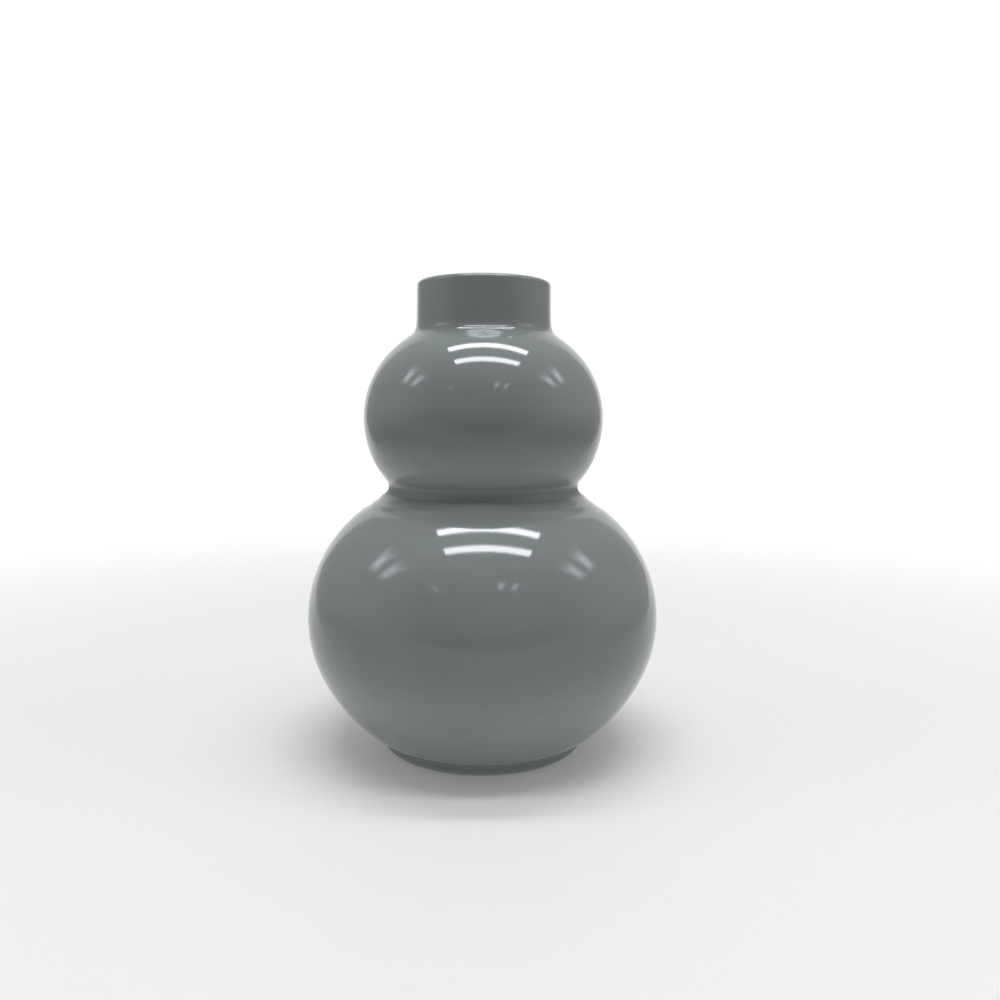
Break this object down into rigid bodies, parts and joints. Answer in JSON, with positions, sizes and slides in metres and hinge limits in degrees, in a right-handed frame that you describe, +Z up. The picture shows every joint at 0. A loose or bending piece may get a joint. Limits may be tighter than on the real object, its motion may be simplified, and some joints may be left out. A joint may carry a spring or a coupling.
{
  "type": "double gourd vase",
  "caption": "Free-standing double gourd vase of grey glazed stoneware, with a short neck, a narrow waist and a low foot ring.",
  "frame": {"origin": "centre of the circle on which the foot ring stands, on the table", "axes": "+Z up along the vase's axis of revolution, towards the mouth; X and Y are level"},
  "size_m": [0.189, 0.189, 0.25],
  "materials": {
    "stoneware": "unglazed, fine grog",
    "luting_clay": "unglazed, smooth",
    "grey_glaze": "glossy",
    "liner_glaze": "glossy"
  },
  "bodies": {
    "root": {"foot_ring": "stoneware", "foot_luting_coil": "luting_clay", "lower_globe": "stoneware", "waist_luting_coil": "luting_clay", "upper_globe": "stoneware", "neck_luting_coil": "luting_clay", "neck_collar": "stoneware", "outer_glaze": "grey_glaze", "inner_glaze": "liner_glaze", "base_glaze": "grey_glaze"}
  },
  "joints": []
}
